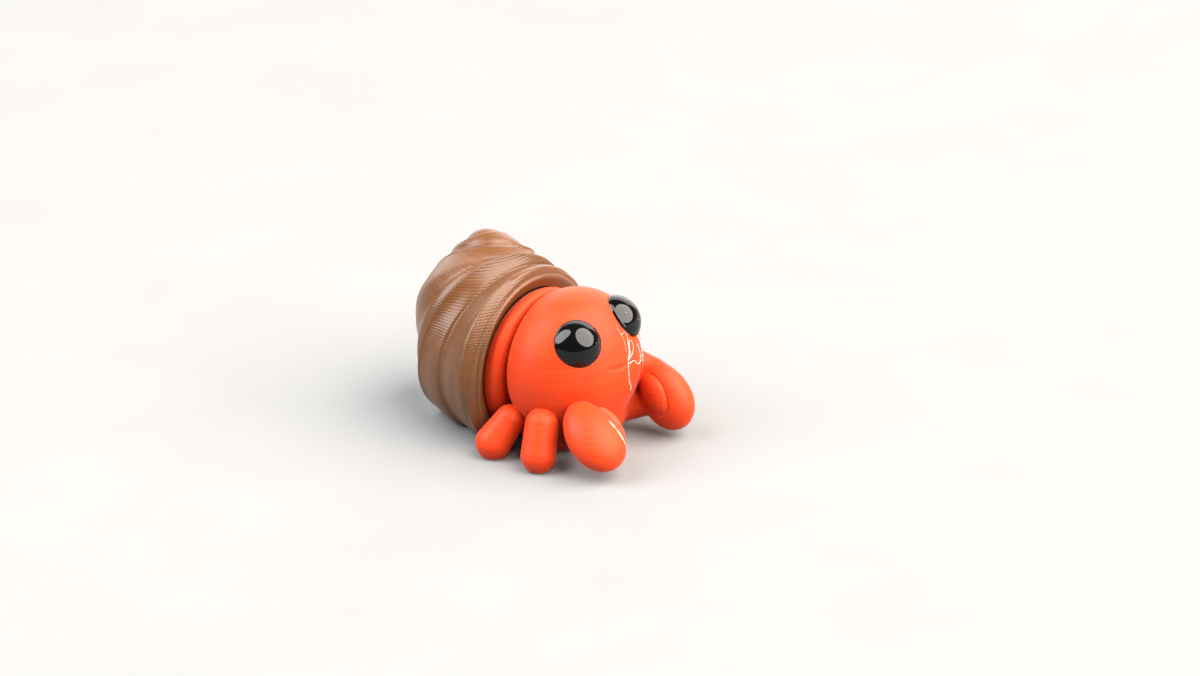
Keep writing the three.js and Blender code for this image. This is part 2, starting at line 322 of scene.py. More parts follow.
def crab_distance(p):
    """Distance from the crab's surface, at points p given as three arrays in mm."""
    head = head_shape(p)
    crab = merge(head, body_shape(p), FILLET["body"])
    ring, core = collar_shape(p)
    crab = merge(crab, core, FILLET["core"])
    crab = merge(crab, ring, FILLET["collar"])
    for hand, side in SIDES:
        q = [side * p[0], p[1], p[2]]
        crab = merge(crab, rod(q, *ARM), FILLET["arm"])
        if hand == "left":
            crab = merge(crab, rod(q, *LEFT_SHOULDER), FILLET["arm"])
        for leg in LEGS:
            crab = merge(crab, rod(q, *leg), FILLET["leg"])
        egg, finger = egg_shape(q, *CLAW[hand]), egg_shape(q, *FINGER[hand])
        claw = merge(egg, finger, FILLET["finger"])
        claw = keep_inside(claw, CREASE_RADIUS - length(egg, finger), EDGE["crease"])
        crab = merge(crab, claw, FILLET[hand + " claw"])
    crab = keep_inside(crab, -smile_shape(p, head), EDGE["smile"])
    height = np.clip((p[2] - FLOOR) / FLARE_HEIGHT, 0.0, 2.0)
    crab = crab - FLARE * np.exp(-height**4)
    return keep_inside(crab, FLOOR - p[2], EDGE["bed"])


print("at the middle of the head:", round(float(crab_distance([np.zeros(1)] * 3)[0]), 2), "mm")

# %% [markdown]
# ## From a distance to a mesh
# Blender can turn a volume into a mesh, but a direct way keeps the smallest detail. The space is cut
# into tiny cubes. Each cube that the surface passes through gets one point, at the middle of its
# crossings, and each cube edge that the surface cuts gets one four-sided face. The points then slide
# along the distance's slope until they lie on the surface itself.

# %% Measure the distance at the corners of the cubes
CELL = 0.075  # mm
CRAB_LOW = np.array([-9.6, -9.4, -6.7])  # corners of the space that is cut into cubes
CRAB_HIGH = np.array([9.6, 5.5, 6.6])
SLAB = 16  # planes of corners that are worked out at once


def distance_grid(distance, low, high, cell):
    """The distance at the corners of all cubes, worked out in slabs to save memory."""
    x, y, z = [np.arange(low[i], high[i] + cell, cell, dtype=np.float32) for i in range(3)]
    slabs = []
    for start in range(0, len(x), SLAB):
        p = np.meshgrid(x[start:start + SLAB], y, z, indexing="ij")
        slabs.append(distance(p).astype(np.float32))
    return np.concatenate(slabs)


grid = distance_grid(crab_distance, CRAB_LOW, CRAB_HIGH, CELL)
print("corners each way:", grid.shape)

# %% Put a point in each cube that the surface crosses


def surface_points(grid, low, cell):
    """One point in each cube that the surface crosses, and the number of each cube's point."""
    shape = [n - 1 for n in grid.shape]
    corner = {
        (i, j, k): grid[i:shape[0] + i, j:shape[1] + j, k:shape[2] + k]
        for i in (0, 1) for j in (0, 1) for k in (0, 1)
    }
    inside = sum((value < 0).astype(np.int8) for value in corner.values())
    cube = np.argwhere((inside > 0) & (inside < 8))
    at = {key: value[tuple(cube.T)] for key, value in corner.items()}
    total = np.zeros((len(cube), 3))
    count = np.zeros(len(cube))
    for a in at:
        for axis in range(3):
            if a[axis] == 1:
                continue
            b = tuple(1 if i == axis else a[i] for i in range(3))
            crosses = (at[a] < 0) != (at[b] < 0)
            share = at[a] / np.where(crosses, at[a] - at[b], 1.0)
            spot = np.tile(np.array(a, float), (len(cube), 1))
            spot[:, axis] = share
            total += np.where(crosses[:, None], spot, 0.0)
            count += crosses
    number = np.full(shape, -1, np.int32)
    number[tuple(cube.T)] = np.arange(len(cube))
    return low + cell * (cube + total / count[:, None]), number


crab_points, number = surface_points(grid, CRAB_LOW, CELL)
print("crab has", len(crab_points), "points")

# %% Join the points with faces


def surface_faces(grid, number):
    """A four-sided face round each cube edge that the surface cuts."""
    faces = []
    for axis in range(3):
        first = [slice(1, -1)] * 3
        first[axis] = slice(0, -1)
        second = list(first)
        second[axis] = slice(1, None)
        a, b = grid[tuple(first)] < 0, grid[tuple(second)] < 0
        cut = np.argwhere(a != b)
        leaves = a[tuple(cut.T)]
        base = cut + 1
        base[:, axis] -= 1
        u, v = [i for i in range(3) if i != axis]
        ring = []
        for du, dv in ((1, 1), (0, 1), (0, 0), (1, 0)):
            cell = base.copy()
            cell[:, u] -= du
            cell[:, v] -= dv
            ring.append(number[tuple(cell.T)])
        ring = np.stack(ring, 1)
        flip = leaves if axis == 1 else ~leaves
        ring[flip] = ring[flip][:, ::-1]
        faces.append(ring)
    return np.concatenate(faces)


crab_faces = surface_faces(grid, number)
print("crab has", len(crab_faces), "faces")

# %% Slide the points onto the surface and make the crab


def settle(points, distance, rounds=4, step=0.01, furthest=0.05, flattest=0.25):
    """Slides points along the distance's slope onto the surface, none of them far in one round."""
    for _ in range(rounds):
        value = distance(points.T)
        slope = np.stack([
            (distance((points + step * unit).T) - distance((points - step * unit).T)) / (2 * step)
            for unit in np.eye(3)
        ], 1)
        size = np.maximum((slope * slope).sum(1), flattest)
        points = points - slope * np.clip(value / size, -furthest, furthest)[:, None]
    return points


crab_points = settle(crab_points, crab_distance)
crab = new_object("crab", to_row(crab_points).tolist(), crab_faces.tolist())
CRAB_NODES = ["head", "torso", "collar", "shoulder_left"] + [
    f"{part}_{side}"
    for part in ("leg_rear", "leg_front", "claw", "finger", "arm")
    for side in ("left", "right")
]
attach(crab, "root")
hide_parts(*CRAB_NODES)
print("crab replaces", len(CRAB_NODES), "measured solids")

# %% [markdown]
# ## Shell
# The shell is a horn: round sections that shrink, tip back and lean over as they climb a bent line.
# A spiral seam winds round it, and creases follow the seam. A spiral modifier can't change its pitch
# along the way, so the horn is built from its own grid of points, where each point knows how far along
# the horn and how far round it lies.

# %% Describe the horn's sections
STATION = [0.0, 0.2, 0.4, 0.55, 0.7, 0.9, 1.0]  # along the horn, 0 at the mouth and 1 at the tip
SECTION = {  # one value for each station: mm and degrees
    "radius": [7.74, 7.8, 7.3, 6.4, 5.57, 2.7, 0.0],
    "x": [0.0, 0.1, 0.81, 1.45, 2.22, 3.3, 3.36],
    "y": [4.38, 6.54, 9.11, 10.49, 11.24, 11.45, 11.88],
    "z": [-0.99, -0.46, -0.19, 2.29, 3.4, 6.38, 7.87],
    "pitch": [0.0, 13.8, 25.1, 35.9, 47.7, 62.0, 64.4],
    "lean": [0.0, 1.0, 8.5, 21.0, 27.9, 28.8, 27.1],
}
SEAM_START = 210.5  # degrees round the mouth, from the bottom, where the seam begins
# How many turns the seam has made, and the stations where it has made them.
SEAM_TURNS = [-0.5, 0.0, 0.54, 0.63, 0.74, 0.85, 1.04, 1.53, 2.02, 2.52, 3.02, 4.0]
SEAM_STATION = [-0.2, 0.0, 0.396, 0.439, 0.48, 0.525, 0.615, 0.808, 0.851, 0.888, 0.976, 1.0]


def through(knots, values, at):
    """A smooth curve through the values that never swings past them."""
    knots, values, at = np.asarray(knots, float), np.asarray(values, float), np.asarray(at, float)
    step = np.diff(knots)
    rise = np.diff(values) / step
    same = rise[:-1] * rise[1:] > 0
    w0, w1 = 2 * step[1:] + step[:-1], step[1:] + 2 * step[:-1]
    safe0, safe1 = np.where(same, rise[:-1], 1.0), np.where(same, rise[1:], 1.0)
    slope = np.zeros(len(knots))
    slope[1:-1] = np.where(same, (w0 + w1) / (w0 / safe0 + w1 / safe1), 0.0)
    slope[0], slope[-1] = rise[0], rise[-1]
    i = np.clip(np.searchsorted(knots, at, side="right") - 1, 0, len(step) - 1)
    h = step[i]
    s = np.clip((at - knots[i]) / h, 0.0, 1.0)
    return (
        values[i] * (2 * s**3 - 3 * s**2 + 1) + h * slope[i] * (s**3 - 2 * s**2 + s)
        + values[i + 1] * (3 * s**2 - 2 * s**3) + h * slope[i + 1] * (s**3 - s**2)
    )


print("radius half way up:", round(float(through(STATION, SECTION["radius"], 0.5)), 2), "mm")

# %% [markdown]
# ## Ribs of the shell
# The ribs are a profile that repeats with every turn of the seam, so they are drawn as curves of how
# far the surface stands out against how far it lies from the seam. Low on the shell the seam is a crisp
# ridge, and behind it come a crease, a second ridge and a second crease. Higher up each turn is one long
# bulge that falls to a ledge. The two profiles are blended along the way. The low ribs calm down over
# the top and the left side, and one broad bulge is added on the crown of the last turn.

# %% Describe the ribs
RIB_PLACE = [
    0, 0.03, 0.09, 0.17, 0.22, 0.265, 0.31, 0.4, 0.535, 0.575, 0.63, 0.72, 0.81, 0.88, 0.94, 0.98, 1
]
LOW_RIBS = [0.95, 0.65, 0.4, 0.25, 0.0, -0.6, -0.3, 0.15, 0.75, 0.45, 0.0, -0.6, -0.3, 0.15, 0.0, 0.1, 0.95]
HIGH_RIBS = [
    0.6, 0.55, 0.42, 0.32, 0.26, 0.2, 0.15, 0.05, -0.1, -0.13, -0.18, -0.3, -0.4, -0.52, -0.5, -0.1, 0.6
]
BLEND_FROM, BLEND_TO = 0.47, 0.57  # stations between which the low profile gives way to the high one
RIB_DEPTH = 0.48  # mm
CALM_FROM, CALM_TO = math.radians(115.0), math.radians(175.0)  # angles between which low ribs calm down
CALM_SHARE = 0.35  # what is left of them
MOUTH_RIDGE = (0.022, 0.012, 0.12)  # station, half width and height in mm of the ridge round the mouth
MOUTH_VALLEY = (0.058, 0.024, -0.12)
VALLEY_ANGLE = math.radians(95.0)  # where round the mouth the valley is deepest
VALLEY_SPREAD = math.radians(55.0)
VALLEY_LEAST = 0.3  # share of its depth that it keeps elsewhere
CROWN_STATION, CROWN_LENGTH = 0.407, 0.068  # the crown's bulge, and how far it reaches along
CROWN_ANGLE, CROWN_SPREAD = math.radians(187.0), math.radians(50.0)  # and round
CROWN_HEIGHT = 0.29  # mm


def rib(station, angle):
    """How far the surface stands proud of its section, in mm."""
    passed = through(SEAM_STATION, SEAM_TURNS, station)
    turns = (np.degrees(angle) - SEAM_START) / 360.0 - passed
    part = turns - np.floor(turns)
    high = np.clip((station - BLEND_FROM) / (BLEND_TO - BLEND_FROM), 0.0, 1.0)
    high = high * high * (3.0 - 2.0 * high)
    calm = 1.0 - (1.0 - CALM_SHARE) * np.clip((angle - CALM_FROM) / (CALM_TO - CALM_FROM), 0.0, 1.0)
    low_lift, high_lift = through(RIB_PLACE, LOW_RIBS, part), through(RIB_PLACE, HIGH_RIBS, part)
    lift = (1.0 - high) * calm * low_lift + high * high_lift
    ridge, valley = [
        rise * np.exp(-((station - place) / half) ** 2) for place, half, rise in (MOUTH_RIDGE, MOUTH_VALLEY)
    ]
    deep = VALLEY_LEAST + (1.0 - VALLEY_LEAST) * np.exp(-((angle - VALLEY_ANGLE) / VALLEY_SPREAD) ** 2)
    along, across = (station - CROWN_STATION) / CROWN_LENGTH, (angle - CROWN_ANGLE) / CROWN_SPREAD
    crown = CROWN_HEIGHT * np.exp(-along**2 - across**2)
    return RIB_DEPTH * lift + ridge + deep * valley + crown


print("creases are", round(-RIB_DEPTH * min(LOW_RIBS), 2), "mm deep")

# %% Find points on the horn
RIB_FULL_SPREAD = 6.5  # mm of wall for the horn's whole length; where there is less, ribs are shallower
SPREAD_STEP = 0.01


def horn_point(station, angle, radius, forward=0.0):
    """A point on one section of the horn; forward moves it towards the mouth."""
    middle = np.stack([through(STATION, SECTION[axis], station) for axis in "xyz"], -1)
    pitch = np.radians(through(STATION, SECTION["pitch"], station))
    lean = np.radians(through(STATION, SECTION["lean"], station))
    along = np.stack([np.sin(lean), np.cos(lean) * np.cos(pitch), np.cos(lean) * np.sin(pitch)], -1)
    up = np.stack([0 * pitch, -np.sin(pitch), np.cos(pitch)], -1)
    side = np.cross(up, along)
    reach = -np.cos(angle)[..., None] * up + np.sin(angle)[..., None] * side
    return middle + radius[..., None] * reach - np.asarray(forward)[..., None] * along


def plain_radius(station):
    """Radius of the horn's sections without ribs."""
    return np.sqrt(np.maximum(through(STATION, np.square(SECTION["radius"]), station), 0.0))


def wall_spread(station, angle):
    """How much wall lies between one section and the next here, from 0 where they touch to 1."""
    before, after = [
        horn_point(at, angle, plain_radius(at)) for at in (station - SPREAD_STEP, station + SPREAD_STEP)
    ]
    spread = np.linalg.norm(after - before, axis=-1) / (2.0 * SPREAD_STEP)
    return np.minimum(spread / RIB_FULL_SPREAD, 1.0)


tip = horn_point(np.ones(1), np.zeros(1), np.zeros(1))
print("tip of the horn, mm:", tip[0].round(2).tolist())

# %% Build the shell's outside
MOUTH_TUCK = 0.035  # the shell narrows by this share at the mouth
TUCK_LENGTH = 0.06
RIB_FULL_RADIUS = 3.0  # sections narrower than this have shallower ribs
ROWS = 420
ROUND = 480
ROW_CROWDING = 1.35  # above 1, the rows crowd together towards the tip


def horn_radius(station, angle):
    """Distance from the horn's line to its surface, ribs included."""
    plain = plain_radius(station)
    tuck = MOUTH_TUCK * np.maximum(1.0 - station / TUCK_LENGTH, 0.0) ** 2
    gain = wall_spread(station, angle) * np.minimum(plain / RIB_FULL_RADIUS, 1.0)
    return plain * (1.0 - tuck) + rib(station, angle) * gain


station = 1.0 - np.linspace(1.0, 0.0, ROWS) ** ROW_CROWDING
angle = np.linspace(0.0, 2 * math.pi, ROUND, endpoint=False)
S, A = np.meshgrid(station, angle, indexing="ij")
outside = horn_point(S, A, horn_radius(S, A))
print("shell's outside has", outside.shape[0], "sections of", outside.shape[1], "points")

# %% [markdown]
# ## Lip and mouth
# At the mouth the wall rolls over a rounded lip to a flat face, and a round recess takes the collar.
# The recess is a real hole, closed at the bottom, so the shell is a solid cup that could be printed.
# The print bed cuts it flat, which a Boolean modifier does best.

# %% Build the lip and the mouth
LIP_ROLL = 0.27  # mm, radius of the rounded lip
LIP_FUNNEL = 0.35  # mm that the flat face sinks on its way to the recess
MOUTH_RADIUS = 6.33
MOUTH_DEPTH = 1.15
MOUTH_EDGE = 0.12  # mm, rounding of the recess's rim
LIP_STEPS, EDGE_STEPS = 8, 4  # rings round each rounding
FLAT_SHARES = (0.3, 0.6, 0.9)  # of the way across the flat face
WALL_SHARES = (0.35, 0.7, 1.0)  # of the way down the recess's wall
BOTTOM_SHARES = (0.66, 0.33)  # of the recess's radius, on its bottom
rim = LIP_ROLL - LIP_FUNNEL  # mm forward of the horn's first section, where the recess starts
wall = horn_radius(np.zeros(ROUND), angle)
mouth_rings = []


def add_ring(radius, forward):
    """Adds the next ring inwards, so far in front of the horn's first section."""
    mouth_rings.append(horn_point(np.zeros(ROUND), angle, radius * np.ones(ROUND), np.full(ROUND, forward)))


for turn in np.linspace(0.0, math.pi / 2, LIP_STEPS + 1)[1:]:
    add_ring(wall - LIP_ROLL * (1 - math.cos(turn)), LIP_ROLL * math.sin(turn))
for share in FLAT_SHARES:
    radius = (wall - LIP_ROLL) * (1 - share) + (MOUTH_RADIUS + MOUTH_EDGE) * share
    add_ring(radius, LIP_ROLL - LIP_FUNNEL * share)
for turn in np.linspace(0.0, math.pi / 2, EDGE_STEPS + 1):
    add_ring(MOUTH_RADIUS + MOUTH_EDGE * (1 - math.sin(turn)), rim - MOUTH_EDGE * (1 - math.cos(turn)))
for share in WALL_SHARES:
    add_ring(MOUTH_RADIUS, rim - MOUTH_EDGE - share * MOUTH_DEPTH)
for share in BOTTOM_SHARES:
    add_ring(MOUTH_RADIUS * share, rim - MOUTH_EDGE - MOUTH_DEPTH)
bottom = horn_point(np.zeros(1), np.zeros(1), np.zeros(1), np.array([rim - MOUTH_EDGE - MOUTH_DEPTH]))
print("mouth has", len(mouth_rings), "rings")

# %% Close the shell and cut it on the print bed
SHELL_CREASE = 40  # degrees; the edge of the bed's cut is sharper than this


def tube_faces(rows, columns):
    """Faces of a closed tube of rings, with a fan to one more point at each end."""
    index = np.arange(rows * columns).reshape(rows, columns)
    nxt = np.roll(index, -1, axis=1)
    walls = np.stack([index[:-1], nxt[:-1], nxt[1:], index[1:]], -1).reshape(-1, 4).tolist()
    first, last = rows * columns, rows * columns + 1
    start = [(first, int(b), int(a)) for a, b in zip(index[0], nxt[0])]
    end = [(last, int(a), int(b)) for a, b in zip(index[-1], nxt[-1])]
    return walls + start + end


rings = np.concatenate([np.array(mouth_rings[::-1]), outside[:-1]])
shell_points = np.concatenate([rings.reshape(-1, 3), bottom, tip])
shell = new_object("shell_print", to_row(shell_points).tolist(), tube_faces(len(rings), ROUND))


def cut_on_bed(thing):
    """Cuts a closed piece flat at floor level, with a block that is removed afterwards."""
    reach, deep = 40 * MM, 20 * MM
    block = new_object("bed_block", [
        (x * reach, y * reach, z) for z in (-deep, 0.0) for x, y in corners
    ], [(3, 2, 1, 0), (4, 5, 6, 7), (0, 1, 5, 4), (1, 2, 6, 5), (2, 3, 7, 6), (3, 0, 4, 7)])
    cut = thing.modifiers.new("bed", "BOOLEAN")
    cut.operation = "DIFFERENCE"
    cut.object = block
    cut.solver = "MANIFOLD"
    bpy.context.view_layer.update()
    cut_mesh = bpy.data.meshes.new_from_object(thing.evaluated_get(bpy.context.evaluated_depsgraph_get()))
    thing.modifiers.clear()
    old = thing.data
    thing.data = cut_mesh
    bpy.data.meshes.remove(old)
    bpy.data.objects.remove(block)


def crease_edges(thing, degrees):
    """Shades a mesh smooth, with a hard edge wherever two faces meet at more than this angle."""
    work = bmesh.new()
    work.from_mesh(thing.data)
    for face in work.faces:
        face.smooth = True
    limit = math.radians(degrees)
    for edge in work.edges:
        edge.smooth = edge.calc_face_angle(0.0) < limit
    work.to_mesh(thing.data)
    work.free()


cut_on_bed(shell)
crease_edges(shell, SHELL_CREASE)
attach(shell, "root")
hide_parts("shell")
print("shell has", len(shell.data.polygons), "faces")

# %% [markdown]
# ## Eyes
# Each eye is a cast black dome, 4 mm across, with a flat back and a small rounded rim. A squashed ball
# would have no rim to catch the light. So it is turned on a lathe here: one profile, spun round the
# line that points straight out of the head.

# %% Turn the eyes
EYE_RADIUS = 2.0
EYE_RISE = 0.9  # top of the dome above the head's surface
EYE_TURN = math.radians(39.0)  # from straight ahead
EYE_LIFT = {"left": math.radians(39.5), "right": math.radians(36.5)}  # above level
EYE_PROUD = {"left": 0.13, "right": 0.0}  # mm that the glue holds it off the head
EYE_RIM = 0.2  # mm that the rim's rounding goes down
EYE_RIM_OUT = 0.4  # and how far it goes out, as a share of that
EYE_SINK = 0.55  # the dome's flat back lies this far under its rim
EYE_BACK_EDGE = 0.1
DOME_STEPS, RIM_STEPS = 40, 6
EYE_CREASE = 50  # degrees


def head_spot(turn, lift):
    """A point on the head and the direction straight out of it there; turn is towards the left side."""
    aim = np.array([math.cos(lift) * math.sin(turn), -math.cos(lift) * math.cos(turn), math.sin(lift)])
    half = np.array(HEAD_HALF)
    out = aim / half
    return aim * half, out / np.linalg.norm(out)


def lathe(name, profile, seat, axis, steps=96):
    """Spins a profile of (radius, height) pairs, from the top's middle to the back's, round an axis."""
    turn = Vector((0, 0, 1)).rotation_difference(Vector(axis)).to_matrix()
    around = np.linspace(0, 2 * math.pi, steps, endpoint=False)
    body = np.array([
        [(r * math.cos(a), r * math.sin(a), h) for a in around] for r, h in profile[1:-1]
    ])
    spots = np.concatenate([body.reshape(-1, 3), [(0, 0, profile[0][1])], [(0, 0, profile[-1][1])]])
    spots = spots @ np.array(turn).T + seat
    faces = [face[::-1] for face in tube_faces(len(body), steps)]
    return new_object(name, to_row(spots).tolist(), faces)


def dome_profile():
    """Half the outline of the dome: a round cap, a small rounded rim and a flat back."""
    fall = EYE_RADIUS**2 / (2 * HEAD_HALF[0])  # how far the head drops away under the rim
    rise = EYE_RISE + fall
    ball_radius = (EYE_RADIUS**2 + rise**2) / (2 * rise)
    rim_out = EYE_RIM * EYE_RIM_OUT
    edge = math.asin((EYE_RADIUS - rim_out) / ball_radius)
    outline = [
        (ball_radius * math.sin(a), EYE_RISE - ball_radius * (1 - math.cos(a)))
        for a in np.linspace(0, edge, DOME_STEPS)
    ]
    radius, height = outline[-1]
    for a in np.linspace(0.25, 1.0, RIM_STEPS) * math.pi / 2:
        outline.append((radius + rim_out * math.sin(a), height - EYE_RIM * (1 - math.cos(a))))
    radius, low = outline[-1]
    back = low - EYE_SINK
    outline += [(radius, low - EYE_SINK / 2), (radius - EYE_BACK_EDGE, back)]
    return outline + [(EYE_RADIUS / 2, back), (0.0, back)]


eyes = []
for hand, side in SIDES:
    seat, out = head_spot(side * EYE_TURN, EYE_LIFT[hand])
    seat = seat + EYE_PROUD[hand] * out
    eye = lathe(f"eye_dome_{hand}", dome_profile(), seat, out)
    crease_edges(eye, EYE_CREASE)
    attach(eye, "root")
    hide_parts(f"eye_{hand}")
    eyes.append(eye)
print("eyes turned:", [eye.name for eye in eyes])

# %% [markdown]
# ## Strings of glue
# Clear glue has squeezed out from under the left eye and dried in threads on the face, with a thin bead
# round the foot of each eye. A thread is a tube along a path on the head. The paths are given as angles
# on the head, so they always lie on its surface, and the radius swells and shrinks a little along them.

# %% Draw the paths of the glue
THREADS = [  # radius in mm, then (turn to the left, height) in degrees on the head
    (0.02, [(10.2, 40.5), (8.5, 36.2), (9.2, 31.3), (9.8, 27.5), (9.2, 23.5), (7.8, 17.5)]),
    (0.022, [(9.2, 31.3), (13.8, 31.8), (16.5, 29.8), (16, 27), (14.3, 24.2)]),
    (0.095, [(14.3, 24.2), (12.5, 19.2), (11.2, 15.5), (9.5, 13), (7.5, 10.5)]),
    (0.028, [(14.5, 24.5), (20, 22), (20.2, 18.5), (17.8, 15.5), (14.5, 13), (9.2, 11)]),
    (0.042, [(7.5, 8.8), (10, 8), (14.5, 8), (17.5, 6.8), (20, 4), (25, 1.2), (29.5, 1.2), (31.5, 4),
             (30.2, 9.8), (28.5, 16.8)]),
    (0.03, [(44.2, 10.2), (45.2, 4), (43.5, -1)]),
    (0.06, [(7.5, 10.2), (7, 4), (7, -0.5), (7.5, -4.5), (10, -9.5), (12, -13), (12.5, -16.2)]),
    (0.035, [(16.8, 33.8), (20.8, 30), (23.8, 26.5), (27.8, 22.2)]),
    (0.1, [(32, 23.5), (36, 19), (38.5, 13), (39.2, 6.5), (38, 1), (35, -1.5)]),
]
THREAD_SIDES = 10
THREAD_RINGS, THREAD_LUMPS = 14, 5  # for each point of the path
THREAD_SWELL = 0.2
THREAD_LIMITS = (0.35, 2.0)  # the thinnest and thickest it gets, as shares of its radius
TAPER_RATE, TAPER_LEAST = 4.0, 0.15  # growth for each point of the path, and the share at the very ends
luck = np.random.default_rng(7)


def tube(path, out, radii):
    """Points and faces of a closed tube along a path; out gives one sideways direction per point."""
    run = np.gradient(path, axis=0)
    side = np.cross(run, out)
    side /= np.linalg.norm(side, axis=1, keepdims=True)
    turn = np.linspace(0, 2 * math.pi, THREAD_SIDES, endpoint=False)
    ring = np.cos(turn)[None, :, None] * out[:, None] + np.sin(turn)[None, :, None] * side[:, None]
    spots = path[:, None] + radii[:, None, None] * ring
    spots = np.concatenate([spots.reshape(-1, 3), path[:1], path[-1:]])
    return spots, [face[::-1] for face in tube_faces(len(path), THREAD_SIDES)]


def thread(radius, angles):
    """One string of glue that tapers at both ends."""
    knots = np.arange(len(angles))
    at = np.linspace(0, len(angles) - 1, THREAD_RINGS * len(angles))
    turn, height = [np.radians(through(knots, row, at)) for row in zip(*angles)]
    places, outs = zip(*[head_spot(t, h) for t, h in zip(turn, height)])
    lumps = luck.normal(1.0, THREAD_SWELL, THREAD_LUMPS * len(angles))
    swell = np.interp(at, np.linspace(0, at[-1], len(lumps)), lumps)
    taper = np.minimum(1.0, TAPER_RATE * np.minimum(at, at[-1] - at) + TAPER_LEAST)
    return tube(np.array(places), np.array(outs), radius * np.clip(swell, *THREAD_LIMITS) * taper)


threads = [thread(*given) for given in THREADS]
print("threads drawn:", len(threads))

# %% Add the beads round the eyes and make the glue
EYE_BEAD = 0.03  # mm, radius of the bead of glue round each eye
BEAD_OUT = 0.02  # mm that it lies outside the eye
BEAD_RINGS = 121


def eye_bead(hand, side):
    """A thin ring of glue where the rim of an eye meets the head."""
    seat, out = head_spot(side * EYE_TURN, EYE_LIFT[hand])
    first = np.cross(out, (0.0, 0.0, 1.0))
    first /= np.linalg.norm(first)
    second = np.cross(out, first)
    turn = np.linspace(0, 2 * math.pi, BEAD_RINGS)
    places = []
    for t in turn:
        spot = seat + (EYE_RADIUS + BEAD_OUT) * (math.cos(t) * first + math.sin(t) * second)
        aim = spot / np.array(HEAD_HALF)
        places.append(spot / np.linalg.norm(aim))
    swell = 1.0 + THREAD_SWELL * np.sin(3 * turn + side) * np.cos(2 * turn)
    return tube(np.array(places), np.tile(out, (len(turn), 1)), EYE_BEAD * swell)


glue_points, glue_faces = [], []
beads = [eye_bead(hand, side) for hand, side in SIDES]
for spots, faces in threads + beads:
    start = sum(len(done) for done in glue_points)
    glue_points.append(spots)
    glue_faces += [tuple(start + i for i in face) for face in faces]
glue = new_object("glue_strings", to_row(np.concatenate(glue_points)).tolist(), glue_faces)
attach(glue, "root")
print("glue has", len(glue_faces), "faces, with", len(beads), "beads")

# %% [markdown]
# ## Light
# Two big soft boxes light the toy from the left and the right of the camera, both half way up. They are
# what the black eyes reflect. A pale wall behind lights the far edges, and a dim room fills the rest.
# Area lamps are used because their shapes show in the gloss.

# %% Hang the soft boxes
SOFT_BOXES = [  # name, direction from the toy, distance and sizes in metres, radiance, colour, round or not
    ("left_box", (-0.48, 0.51, 0.71), 1.0, (0.75, 1.25), 10.5, (0.96, 0.98, 1.0), True),
    ("right_box", (0.25, -0.66, 0.71), 1.0, (1.55, 1.55), 11.5, (1.0, 0.93, 0.86), True),
    ("back_wall", (0.715, 0.569, 0.32), 1.2, (2.0, 1.2), 2.7, (1.0, 0.98, 0.95), False),
]
ROOM_COLOUR = (1.0, 0.985, 0.97, 1.0)
ROOM_STRENGTH = 0.2


def soft_box(name, direction, distance, size, radiance, colour, round_box):
    """An area lamp that faces the toy; radiance is how bright its face looks, with 1 for white."""
    lamp = bpy.data.lights.new(name, "AREA")
    lamp.shape = "ELLIPSE" if round_box else "RECTANGLE"
    lamp.size, lamp.size_y = size
    area = size[0] * size[1] * (math.pi / 4 if round_box else 1.0)
    lamp.energy = radiance * math.pi * area
    lamp.color = colour
    thing = bpy.data.objects.new(name, lamp)
    way = Vector(direction).normalized()
    thing.location = HEAD_MIDDLE + way * distance
    thing.rotation_mode = "QUATERNION"
    thing.rotation_quaternion = way.to_track_quat("Z", "Y")
    bpy.context.scene.collection.objects.link(thing)


for given in SOFT_BOXES:
    soft_box(*given)

room = bpy.data.worlds.new("room")
room.use_nodes = True
background = room.node_tree.nodes["Background"].inputs
background["Color"].default_value = ROOM_COLOUR
background["Strength"].default_value = ROOM_STRENGTH
bpy.context.scene.world = room
bpy.context.scene.view_settings.view_transform = "Standard"
print("lights hung:", len(SOFT_BOXES))

# %% [markdown]
# ## Building blocks for the finishes
# Several finishes share the same effects, so each effect is one group of shader nodes with its own
# inputs and outputs. Nodes could be added one call at a time, but short helpers keep each finish to a
# few lines that can be read.

# %% Helpers for single shader nodes
MIX_FACTOR, MIX_FIRST, MIX_SECOND, MIX_RESULT = 0, 6, 7, 2  # a Mix node's colour sockets share their names


def add(tree, kind, inputs=None, **options):
    """Adds a shader node. Each input is linked to a socket or set to a plain value."""
    node = tree.nodes.new("ShaderNode" + kind)
    for name, value in options.items():
        setattr(node, name, value)
    for key, value in (inputs or {}).items():
        if isinstance(value, bpy.types.NodeSocket):
            tree.links.new(value, node.inputs[key])
        else:
            node.inputs[key].default_value = value
    return node


def maths(tree, operation, *values):
    """The result of one sum."""
    return add(tree, "Math", dict(enumerate(values)), operation=operation).outputs[0]


def blend(tree, factor, first, second):
    """A colour between two others."""
    given = {MIX_FACTOR: factor, MIX_FIRST: first, MIX_SECOND: second}
    return add(tree, "Mix", given, data_type="RGBA").outputs[MIX_RESULT]


def roughness(tree, mask, least, gain):
    """Roughness that grows from its least value where a mask is bright."""
    return maths(tree, "ADD", maths(tree, "MULTIPLY", mask, gain), least)


def bump(tree, height, distance, strength):
    """A normal that follows a height; distance is in metres."""
    given = {"Strength": strength, "Distance": distance, "Height": height}
    return add(tree, "Bump", given).outputs["Normal"]


print("sums, blends, roughness and bump can be added in one call each")

# %% Helpers for groups and materials


